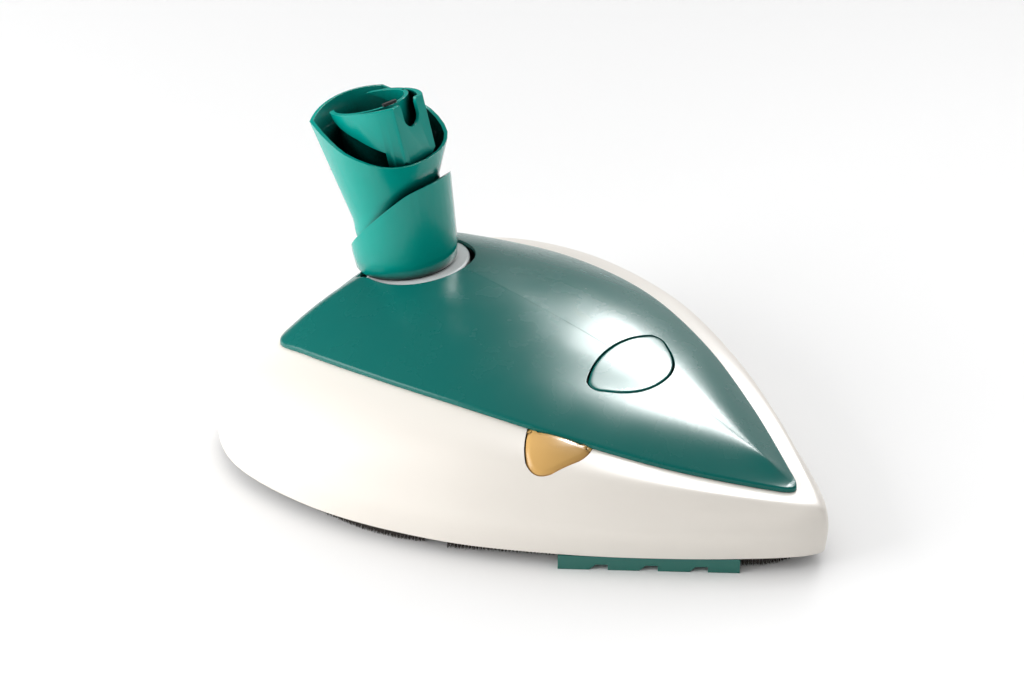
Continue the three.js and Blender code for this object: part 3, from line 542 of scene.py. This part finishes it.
SIDE_BUTTON = {"gap": 0.6, "depth": 6.5, "tuck": 0.2, "points": 160}
# (inset, drop) pairs of its broad chamfer
SIDE_BUTTON_EDGE = [(0, 0.9), (0.15, 0.55), (0.5, 0.3), (1.9, -0.1), (2.2, -0.15)]


def side_frame():
    """A frame on the right wall below the seam: X to the nose, Y up the wall and Z outwards."""
    along = Vector((0.92, 0.36, -0.17)).normalized()
    out = Vector((0.29, -0.33, 0.9)).normalized()
    up = out.cross(along).normalized()
    forward = up.cross(out).normalized()
    matrix = Matrix((forward, up, out)).transposed().to_4x4()
    matrix.translation = Vector((45.3, -58.2, 56.5)) * MM
    return matrix


def bezier2(a, b, c, steps=10):
    t = np.linspace(0, 1, steps)[:, None]
    a, b, c = (np.asarray(p, float) for p in (a, b, c))
    return a * (1 - t) ** 2 + 2 * b * t * (1 - t) + c * t**2


def bezier3(a, b, c, d, steps=18):
    t = np.linspace(0, 1, steps)[:, None]
    a, b, c, d = (np.asarray(p, float) for p in (a, b, c, d))
    return a * (1 - t) ** 3 + 3 * b * t * (1 - t) ** 2 + 3 * c * t**2 * (1 - t) + d * t**3


def shield_outline(g):
    """Straight along the seam, lowest near its back end."""
    path = [
        [(-15.6 - g, 4)],
        bezier2((16 + g, 4), (16.4 + g, -3.4), (12.2 + g, -(8.4 + g))),
        bezier2((2.6, -(18.9 + g)), (-5.2, -(24.4 + g)), (-10.2 - g, -(17.6 + g))),
        bezier2((-10.2 - g, -(17.6 + g)), (-15 - g, -(9 + g)), (-15.6 - g, 4))[1:-1],
    ]
    return np.concatenate([np.asarray(p, float) for p in path])


def resampled(outline, count):
    """Evenly spaced points round a closed outline."""
    closed = np.vstack([outline, outline[:1]])
    reach = np.concatenate([[0], np.cumsum(np.linalg.norm(np.diff(closed, axis=0), axis=1))])
    places = np.linspace(0, reach[-1], count, endpoint=False)
    return np.column_stack([np.interp(places, reach, closed[:, k]) for k in (0, 1)])


def bowl(flat):
    """Terms of a quadratic surface at points in the plane."""
    x, y = flat[:, 0], flat[:, 1]
    return np.column_stack([np.ones_like(x), x, y, x * x, x * y, y * y])


def side_button():
    """The gold button: a flat face on the wall with a broad chamfer round it."""
    frame_in = side_frame().inverted()
    near = [p for p in SEAM_RING if p[1] < 0 and abs(p[0] - 45) < 30]
    seam = np.array([frame_in @ (Vector(p) * MM) for p in near]) / MM
    seam = seam[np.argsort(seam[:, 0])]
    outline = resampled(shield_outline(0), SIDE_BUTTON["points"])
    top = np.interp(outline[:, 0], seam[:, 0], seam[:, 1]) + SIDE_BUTTON["tuck"]
    outline[:, 1] = np.minimum(outline[:, 1], top)
    wall = surface_of(shell("wall", wall_rings(np.linspace(0.25, 1, 30)), caps=True))
    open_part = outline[outline[:, 1] < -1]
    weights = np.linalg.lstsq(bowl(open_part), heights(wall, side_frame(), open_part), rcond=None)[0]

    def face(flat):
        return bowl(flat) @ weights

    depth = SIDE_BUTTON["depth"]
    obj = cap("side_button_fine", outline, side_frame(), face, depth, SIDE_BUTTON_EDGE)
    stands_for(obj, "side_button")


NECK_HOLE = {"x": -88, "radius": 29.7}


def cylinder(name, centre, axis, low, high, radius, steps=160):
    """A closed cylinder about an axis through a centre point. Millimetres."""
    angles = np.arange(steps) / steps * 2 * math.pi
    circle = np.column_stack([np.cos(angles), np.sin(angles)]) * radius
    turn = Vector((0, 0, 1)).rotation_difference(Vector(axis)).to_matrix().to_4x4()
    turn.translation = Vector(centre) * MM
    return prism(name, circle, low, high, turn)


JOINTS = {joint["name"]: joint for joint in frame["joints"]}
SWIVEL = JOINTS["neck_swivel"]
SEAT = Vector(SWIVEL["pos_m"]) / MM
CUP_ROOM = 28.4


def top_cover():
    """The teal cover, open for the neck and the foot button."""
    obj = cover_slab("top_cover_fine")
    boolean(obj, cylinder("hole", (NECK_HOLE["x"], 0, 0), (0, 0, 1), 40, 120, NECK_HOLE["radius"]))
    boolean(obj, cylinder("room", SEAT, SWIVEL["axis"], -1, 60, CUP_ROOM))
    boolean(obj, button_prism("window", PRESS["gap"]))
    stands_for(obj, "top_cover")


PRESS = {"x": 46, "slope": math.radians(13.5), "gap": 0.8, "skin": 2.8, "edge": 0.9, "points": 220}


def button_outline(grow):
    """A rounded triangle, wide at the back, its round point towards the nose."""
    g = grow
    nose, back = 18.8 + g, -12.8 - g
    half = [
        bezier3((nose, 0), (nose, 11 + g), (13.5 + g, 19.5 + g), (3.5, 26 + g)),
        bezier2((3.5, 26 + g), (-1.5, 30.8 + g), (-6 - g, 27 + g))[1:],
        bezier3((-6 - g, 27 + g), (-10.5 - g, 20), (back, 10), (back, 0))[1:],
    ]
    left = np.concatenate(half)
    right = left[1:-1][::-1] * (1, -1)
    return np.concatenate([left, right])


STEM = {"radius": 4, "sunk": 2.4, "points": 48}
PRESS_FRAME = Matrix.Rotation(PRESS["slope"], 4, "Y")
PRESS_FRAME.translation = Vector((PRESS["x"], 0, float(spine_height(PRESS["x"])))) * MM


def button_prism(name, grow):
    return prism(name, button_outline(grow), -25, 25, PRESS_FRAME)


def foot_button():
    """The cap in the cover's surface, with a rounded edge, and the stem under it."""
    surface = surface_of(cover_slab("surface", rounded=False))
    outline = resampled(button_outline(0), PRESS["points"])

    def top(flat):
        return heights(surface, PRESS_FRAME, flat)

    edge = quarter_round(PRESS["edge"])
    obj = cap("foot_button_fine", outline, PRESS_FRAME, top, PRESS["skin"], edge)
    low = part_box("foot_button")[0].z / MM
    high = spine_height(PRESS["x"]) - STEM["sunk"]
    stem = cylinder("stem", (PRESS["x"], 0, 0), (0, 0, 1), low, high, STEM["radius"], STEM["points"])
    boolean(obj, stem, "UNION", sharp=40)
    stands_for(obj, "foot_button")


housing()
top_cover()
foot_button()
side_button()

# ---------------------------------------------------------------- bristles

STRIP_LINES = {
    "rear": [(-70, 107.5), (-52, 109.5), (-36, 108.6), (-18, 104.6), (-4, 98.6)],
    "side": [(7, 96), (30, 82.5), (52, 69.5)],
    "nose": [(127, 22.5), (137, 13.5), (142.6, 0), (137, -13.5), (127, -22.5)],
}
BACKING = {"width": 3.4, "top": 13.6, "low": 10.6}
TUFT = {"pitch": 1.7, "rows": (-1.2, 0.0, 1.2), "hairs": 24, "radius": 0.65, "end": 0.9}
HAIR = {"radius": 0.13, "taper": 0.55, "splay": 0.3, "root": 11.4, "tips": (0.05, 1.5)}
FLARE = 0.8  # how far the hairs lean outwards


def strip_path(line, mirror):
    """Evenly spaced points along a strip's centre line, with their directions."""
    points = [(x, y * mirror, 0) for x, y in line]
    fine = catmull(points, np.linspace(0, 1, 200))[:, :2]
    reach = np.concatenate([[0], np.cumsum(np.linalg.norm(np.diff(fine, axis=0), axis=1))])
    count = int(reach[-1] / TUFT["pitch"])
    places = np.linspace(TUFT["end"], reach[-1] - TUFT["end"], count)
    centres = np.column_stack([np.interp(places, reach, fine[:, k]) for k in (0, 1)])
    tangents = np.gradient(centres, axis=0)
    tangents /= np.linalg.norm(tangents, axis=1)[:, None]
    return centres, tangents


def hair(vertices, faces, root, tip):
    """One tapered three-sided filament."""
    first = len(vertices)
    for end, radius in ((root, HAIR["radius"]), (tip, HAIR["radius"] * HAIR["taper"])):
        for k in range(3):
            angle = 2 * math.pi * k / 3
            vertices.append((end[0] + radius * math.cos(angle), end[1] + radius * math.sin(angle), end[2]))
    for k in range(3):
        after = (k + 1) % 3
        faces.append((first + k, first + after, first + 3 + after, first + 3 + k))
    faces.append((first + 2, first + 1, first))
    faces.append((first + 3, first + 4, first + 5))


def backing(vertices, faces, centres, tangents):
    """The flat bar that holds the tufts."""
    half = BACKING["width"] / 2
    sides = np.column_stack([-tangents[:, 1], tangents[:, 0]]) * half
    first = len(vertices)
    low, high = BACKING["low"], BACKING["top"]
    for c, side in zip(centres, sides):
        for sign, z in ((1, low), (1, high), (-1, high), (-1, low)):
            vertices.append((c[0] + sign * side[0], c[1] + sign * side[1], z))
    for i in range(len(centres) - 1):
        for k in range(4):
            a, b = first + 4 * i + k, first + 4 * i + (k + 1) % 4
            faces.append((a, b, b + 4, a + 4))
    end = first + 4 * (len(centres) - 1)
    faces.append((first + 3, first + 2, first + 1, first))
    faces.append((end, end + 1, end + 2, end + 3))


def bristle_strip(name, line, mirror=1):
    """Rows of hair tufts under a backing bar, uneven at their tips."""
    centres, tangents = strip_path(line, mirror)
    vertices, faces = [], []
    backing(vertices, faces, centres, tangents)
    for c, t in zip(centres, tangents):
        for row in TUFT["rows"]:
            tuft = (c[0] - t[1] * row, c[1] + t[0] * row)
            for _ in range(TUFT["hairs"]):
                angle, reach = random.uniform(0, 2 * math.pi), TUFT["radius"] * random.random() ** 0.5
                root = (tuft[0] + reach * math.cos(angle), tuft[1] + reach * math.sin(angle), HAIR["root"])
                splay, lean = HAIR["splay"], mirror * FLARE * random.uniform(0.2, 1)
                bend = (random.uniform(-splay, splay), random.uniform(-splay, splay))
                tip = (
                    root[0] + bend[0] - t[1] * lean,
                    root[1] + bend[1] + t[0] * lean,
                    random.uniform(*HAIR["tips"]),
                )
                hair(vertices, faces, root, tip)
    stands_for(new_object(name + "_fine", vertices, faces, sharp=70), name)


for label, mirror in (("left", 1), ("right", -1)):
    bristle_strip(f"bristle_rear_{label}", STRIP_LINES["rear"], mirror)
    bristle_strip(f"bristle_side_{label}", STRIP_LINES["side"], mirror)
bristle_strip("bristle_nose", STRIP_LINES["nose"])

for node, original in frame["nodes"].items():
    if node == "foot_button_spring":  # stays as it is: the record declares how it shortens
        for slot in original.material_slots:
            slot.material = MATERIALS["steel"]
    elif not original.hide_render:
        refined(node)

# ---------------------------------------------------------------- floor, light, camera


FLOOR_HALF = 3000
FLOOR_COLOUR = (0.94, 0.94, 0.94, 1)
# Place and target in metres, size in metres, power in watts, and whether only gloss sees it.
SOFTBOXES = {
    "back": ((-0.14, 1.06, 0.94), (0.03, 0.0, 0.07), (0.5, 0.6), 28, True),
    "top": ((0.1, 0.62, 1.16), (0.09, 0.0, 0.06), (0.36, 0.42), 24, True),
    "key": ((-1.0, -1.2, 0.6), (0.0, 0.0, 0.05), (1.3, 1.2), 22, False),
}
# Brightness of the surroundings: from the darkest to the brightest side.
SKY = {"light": (0.27, 1.3), "gloss": (0.04, 0.7), "seen": 0.95}


def studio():
    """The pale floor, the surroundings and the softboxes."""
    corners = [(x * FLOOR_HALF, y * FLOOR_HALF, 0) for x, y in ((-1, -1), (1, -1), (1, 1), (-1, 1))]
    floor = new_object("floor", corners, [(0, 1, 2, 3)])
    material = bpy.data.materials.new("floor")
    material.use_nodes = True
    shader = material.node_tree.nodes["Principled BSDF"]
    shader.inputs["Base Color"].default_value = FLOOR_COLOUR
    shader.inputs["Roughness"].default_value = 0.6
    shader.inputs["Specular IOR Level"].default_value = 0.2
    floor.data.materials.append(material)
    bpy.context.scene.world = sky()
    for name, values in SOFTBOXES.items():
        softbox(name, *values)


def sky():
    """Soft light, strongest from the back left; glossy surfaces see only a bright strip at the back."""
    world = bpy.data.worlds.new("studio")
    world.use_nodes = True
    tree = world.node_tree
    light = ranged(tree, facing(tree, (-0.85, 0.5, 0.1)), (-1.0, 1.0), SKY["light"])
    gloss = ranged(tree, facing(tree, (-0.1, 1.0, 0.0)), (0.75, 1.0), SKY["gloss"])
    rays = tree.nodes.new("ShaderNodeLightPath")
    unseen = blend(tree, rays.outputs["Is Glossy Ray"], light, gloss)
    background = tree.nodes["Background"]
    background.inputs["Color"].default_value = (1, 1, 1, 1)
    strength = blend(tree, rays.outputs["Is Camera Ray"], unseen, SKY["seen"])
    tree.links.new(strength, background.inputs["Strength"])
    return world


def facing(tree, direction):
    """How far a ray points along a direction, from -1 to 1."""
    place = tree.nodes.new("ShaderNodeTexCoord")
    node = tree.nodes.new("ShaderNodeVectorMath")
    node.operation = "DOT_PRODUCT"
    node.inputs[1].default_value = Vector(direction).normalized()
    tree.links.new(place.outputs["Generated"], node.inputs[0])
    return node.outputs["Value"]


def blend(tree, share, first, second):
    """A mix of a value and another value or number."""
    node = tree.nodes.new("ShaderNodeMix")
    tree.links.new(share, node.inputs["Factor"])
    tree.links.new(first, node.inputs["A"])
    if isinstance(second, float):
        node.inputs["B"].default_value = second
    else:
        tree.links.new(second, node.inputs["B"])
    return node.outputs["Result"]


def softbox(name, place, target, size, power, only_seen_in_gloss):
    """A rectangular light that faces a target."""
    light = bpy.data.lights.new(name, "AREA")
    light.shape = "RECTANGLE"
    light.size, light.size_y = size
    light.energy = power
    lamp = bpy.data.objects.new(name, light)
    lamp.location = place
    lamp.visible_diffuse = not only_seen_in_gloss
    lamp.rotation_mode = "QUATERNION"
    lamp.rotation_quaternion = (Vector(target) - Vector(place)).to_track_quat("-Z", "Y")
    bpy.context.scene.collection.objects.link(lamp)


CAMERA = {"target": (-37.2, 13.1, 46.8), "azimuth": 37.4, "elevation": 30.6, "distance": 1.192}
LENS = 81.7
SENSOR = 36


def camera():
    """The camera, in front of the right side and above."""
    target = Vector(CAMERA["target"]) * MM
    azimuth, elevation = math.radians(CAMERA["azimuth"]), math.radians(CAMERA["elevation"])
    back = Vector((
        math.sin(azimuth) * math.cos(elevation),
        -math.cos(azimuth) * math.cos(elevation),
        math.sin(elevation),
    ))
    data = bpy.data.cameras.new("camera")
    data.lens = LENS
    data.sensor_width = SENSOR
    obj = bpy.data.objects.new("camera", data)
    obj.location = target + back * CAMERA["distance"]
    obj.rotation_mode = "QUATERNION"
    obj.rotation_quaternion = (-back).to_track_quat("-Z", "Y")
    bpy.context.scene.collection.objects.link(obj)
    bpy.context.scene.camera = obj


studio()
camera()
bpy.context.scene.view_settings.view_transform = "Standard"
